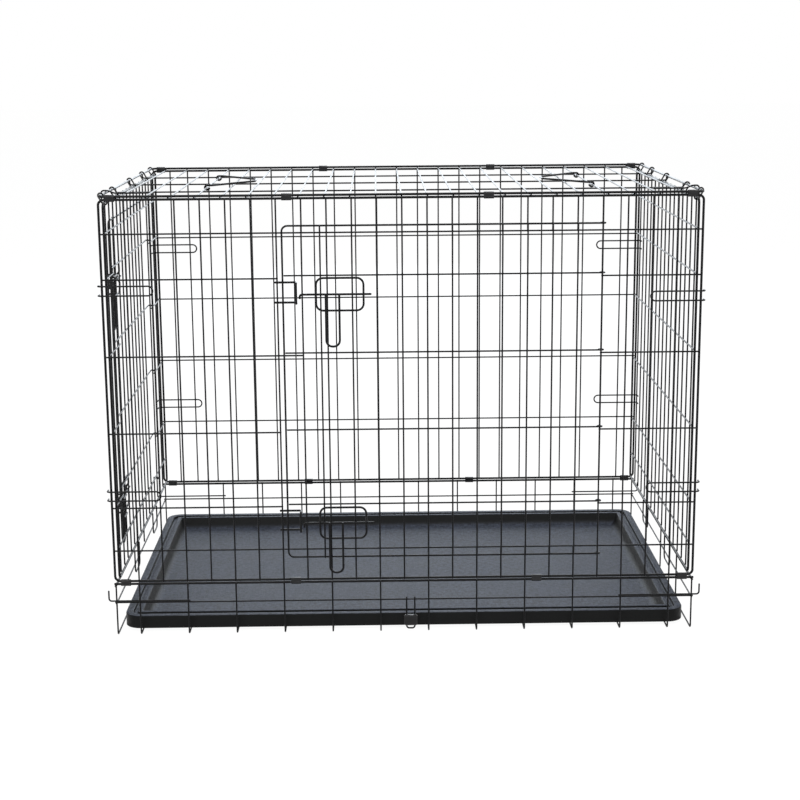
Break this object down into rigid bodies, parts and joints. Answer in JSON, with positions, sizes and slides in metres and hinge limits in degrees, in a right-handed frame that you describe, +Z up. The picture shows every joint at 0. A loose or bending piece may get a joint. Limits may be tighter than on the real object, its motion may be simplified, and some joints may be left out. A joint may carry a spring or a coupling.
{
  "type": "folding wire dog crate",
  "caption": "Folding wire dog crate with a front door, a side door in the left end, slide-bolt latches, a sliding plastic tray, fold-in ends and wire carry handles on the roof.",
  "frame": {"origin": "on the ground under the middle of the crate", "axes": "+Z up, the front door faces -Y, the side door is in the -X end"},
  "size_m": [1.0928, 0.7393, 0.8141],
  "materials": {
    "black_wire": "black electro-coat, semi-gloss",
    "clip_steel": "black electro-coated sheet steel",
    "tray_plastic": "black moulded plastic, fine texture",
    "grip_plastic": "black moulded plastic"
  },
  "bodies": {
    "crate_frame": {"base_floor_wires": "black_wire", "base_front_legs": "black_wire", "base_back_legs": "black_wire", "base_floor_stringers": "black_wire", "base_front_strip": "black_wire", "base_back_strip": "black_wire", "base_end_strips": "black_wire", "base_hook_rods": "black_wire", "base_clips": "clip_steel", "front_panel_frame": "black_wire", "front_panel_uprights": "black_wire", "front_panel_rails": "black_wire", "front_latch_keepers": "black_wire", "back_panel_frame": "black_wire", "back_panel_uprights": "black_wire", "back_panel_rails": "black_wire", "corner_loops": "black_wire", "roof_frame": "black_wire", "roof_cross_wires": "black_wire", "roof_long_wires": "black_wire", "roof_hinge_rings": "black_wire", "roof_hook_rods": "black_wire", "roof_clips": "clip_steel"},
    "front_door": {"front_door_frame": "black_wire", "front_door_uprights": "black_wire", "front_door_rails": "black_wire", "front_latch_housings": "black_wire"},
    "front_upper_bolt": {"front_upper_bolt": "black_wire"},
    "front_lower_bolt": {"front_lower_bolt": "black_wire"},
    "left_end": {"left_end_frame": "black_wire", "left_end_uprights": "black_wire", "left_end_rails": "black_wire", "left_end_tongues": "black_wire", "side_latch_keepers": "black_wire"},
    "side_door": {"side_door_frame": "black_wire", "side_door_uprights": "black_wire", "side_door_rails": "black_wire", "side_latch_housings": "black_wire"},
    "side_upper_bolt": {"side_upper_bolt": "black_wire"},
    "side_lower_bolt": {"side_lower_bolt": "black_wire"},
    "right_end": {"right_end_frame": "black_wire", "right_end_uprights": "black_wire", "right_end_rails": "black_wire", "right_end_tongues": "black_wire"},
    "tray": {"tray": "tray_plastic"},
    "closing_clasp": {"closing_clasp_wire": "black_wire", "closing_clasp_grip": "grip_plastic"},
    "left_carry_handle": {"left_carry_handle": "black_wire"},
    "right_carry_handle": {"right_carry_handle": "black_wire"}
  },
  "joints": [
    {"name": "front_door_swing", "type": "hinge", "parent": "crate_frame", "child": "front_door", "pos_m": [0.355, -0.35875, 0.4515], "axis": [0, 0, 1], "range_deg": [0, 165]},
    {"name": "front_upper_bolt_slide", "type": "slide", "parent": "front_door", "child": "front_upper_bolt", "axis": [-1, 0, 0], "range_m": [-0.012, 0.012]},
    {"name": "front_lower_bolt_slide", "type": "slide", "parent": "front_door", "child": "front_lower_bolt", "axis": [-1, 0, 0], "range_m": [-0.012, 0.012]},
    {"name": "left_end_swing", "type": "hinge", "parent": "crate_frame", "child": "left_end", "pos_m": [-0.5255, 0, 0.796], "axis": [0, 1, 0], "range_deg": [-86, 0]},
    {"name": "side_door_swing", "type": "hinge", "parent": "left_end", "child": "side_door", "pos_m": [-0.52925, 0.21813, 0.4515], "axis": [0, 0, -1], "range_deg": [0, 165]},
    {"name": "side_upper_bolt_slide", "type": "slide", "parent": "side_door", "child": "side_upper_bolt", "axis": [0, -1, 0], "range_m": [-0.012, 0.012]},
    {"name": "side_lower_bolt_slide", "type": "slide", "parent": "side_door", "child": "side_lower_bolt", "axis": [0, -1, 0], "range_m": [-0.012, 0.012]},
    {"name": "right_end_swing", "type": "hinge", "parent": "crate_frame", "child": "right_end", "pos_m": [0.5255, 0, 0.796], "axis": [0, 1, 0], "range_deg": [0, 86]},
    {"name": "tray_slide", "type": "slide", "parent": "crate_frame", "child": "tray", "axis": [-1, 0, 0], "range_m": [0, 0.9]},
    {"name": "closing_clasp_swing", "type": "hinge", "parent": "crate_frame", "child": "closing_clasp", "pos_m": [0.011, -0.35575, 0.062], "axis": [-1, 0, 0], "range_deg": [0, 150]},
    {"name": "left_handle_swing", "type": "hinge", "parent": "crate_frame", "child": "left_carry_handle", "pos_m": [-0.3648, 0, 0.80375], "axis": [0, -1, 0], "range_deg": [0, 165]},
    {"name": "right_handle_swing", "type": "hinge", "parent": "crate_frame", "child": "right_carry_handle", "pos_m": [0.3648, 0, 0.80375], "axis": [0, 1, 0], "range_deg": [0, 165]}
  ]
}
